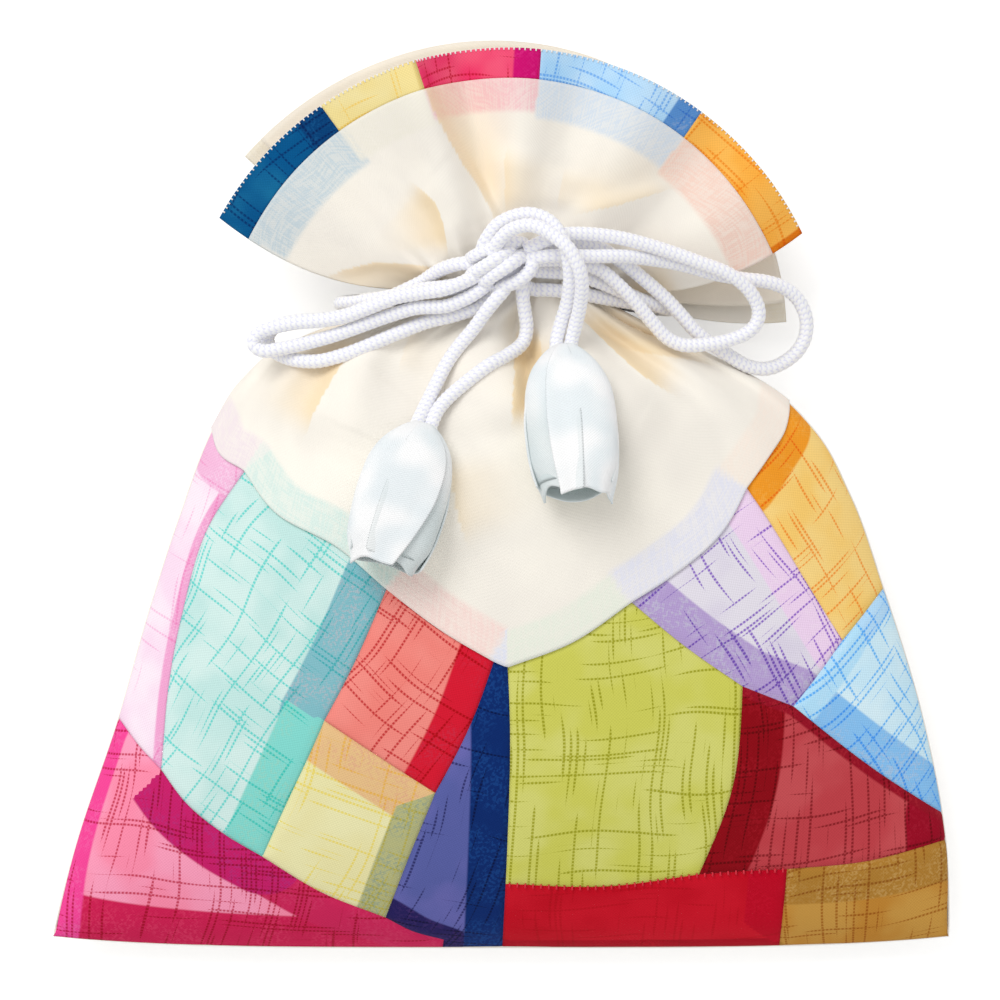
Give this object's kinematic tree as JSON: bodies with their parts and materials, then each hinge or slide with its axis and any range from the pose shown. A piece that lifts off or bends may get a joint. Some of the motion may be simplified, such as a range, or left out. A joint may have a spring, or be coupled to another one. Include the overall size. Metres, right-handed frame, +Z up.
{
  "type": "drawstring pouch",
  "caption": "Small kinchaku drawstring pouch of sheer patchwork cloth, lined, drawn shut by cords tied in a bow and ending in cloth buds.",
  "frame": {"origin": "on the surface the pouch lies on, under the middle of its cloth in plan", "axes": "+X across the pouch to its right as seen from the front, +Y from the bottom seam to the mouth, +Z up out of the front panel, which faces up while the pouch lies on its back"},
  "size_m": [0.155, 0.1566, 0.0461],
  "materials": {
    "patch_pink": "sheer plain-weave ramie with a scratched crosshatch print",
    "patch_mint": "sheer plain-weave ramie with a scratched crosshatch print",
    "patch_red": "sheer plain-weave ramie with a scratched crosshatch print",
    "patch_yellow": "sheer plain-weave ramie with a scratched crosshatch print",
    "patch_navy": "sheer plain-weave ramie with a scratched crosshatch print",
    "patch_magenta": "sheer plain-weave ramie with a scratched crosshatch print",
    "patch_lime": "sheer plain-weave ramie with a scratched crosshatch print",
    "patch_lavender": "sheer plain-weave ramie with a scratched crosshatch print",
    "patch_orange": "sheer plain-weave ramie with a scratched crosshatch print",
    "patch_sky": "sheer plain-weave ramie with a scratched crosshatch print",
    "patch_maroon": "sheer plain-weave ramie with a scratched crosshatch print",
    "patch_crimson": "sheer plain-weave ramie with a scratched crosshatch print",
    "patch_mustard": "sheer plain-weave ramie with a scratched crosshatch print",
    "front_yoke": "sheer cream plain-weave ramie",
    "band_blue": "sheer plain-weave ramie with a scratched crosshatch print",
    "band_yellow": "sheer plain-weave ramie with a scratched crosshatch print",
    "band_magenta": "sheer plain-weave ramie with a scratched crosshatch print",
    "band_sky": "sheer plain-weave ramie with a scratched crosshatch print",
    "band_orange": "sheer plain-weave ramie with a scratched crosshatch print",
    "back_panel": "sheer cream plain-weave ramie",
    "lining": "plain-weave cream cloth",
    "cord_white": "fine round braid",
    "bud_cloth": "white plain-weave cloth, gathered"
  },
  "bodies": {
    "root": {"patch_pink": "patch_pink", "patch_mint": "patch_mint", "patch_red": "patch_red", "patch_yellow": "patch_yellow", "patch_navy": "patch_navy", "patch_magenta": "patch_magenta", "patch_lime": "patch_lime", "patch_lavender": "patch_lavender", "patch_orange": "patch_orange", "patch_sky": "patch_sky", "patch_maroon": "patch_maroon", "patch_crimson": "patch_crimson", "patch_mustard": "patch_mustard", "front_yoke": "front_yoke", "band_blue": "band_blue", "band_yellow": "band_yellow", "band_magenta": "band_magenta", "band_sky": "band_sky", "band_orange": "band_orange", "back_panel": "back_panel", "lining_front": "lining", "lining_back": "lining", "neck_cord_left": "cord_white", "neck_cord_right": "cord_white", "left_loop_outer": "cord_white", "left_loop_inner": "cord_white", "right_loop_outer": "cord_white", "right_loop_inner": "cord_white", "left_tail_near": "cord_white", "left_tail_far": "cord_white", "right_tail_low": "cord_white", "right_tail_high": "cord_white", "bow_knot": "cord_white", "bud_left": "bud_cloth", "bud_right": "bud_cloth"}
  },
  "joints": []
}
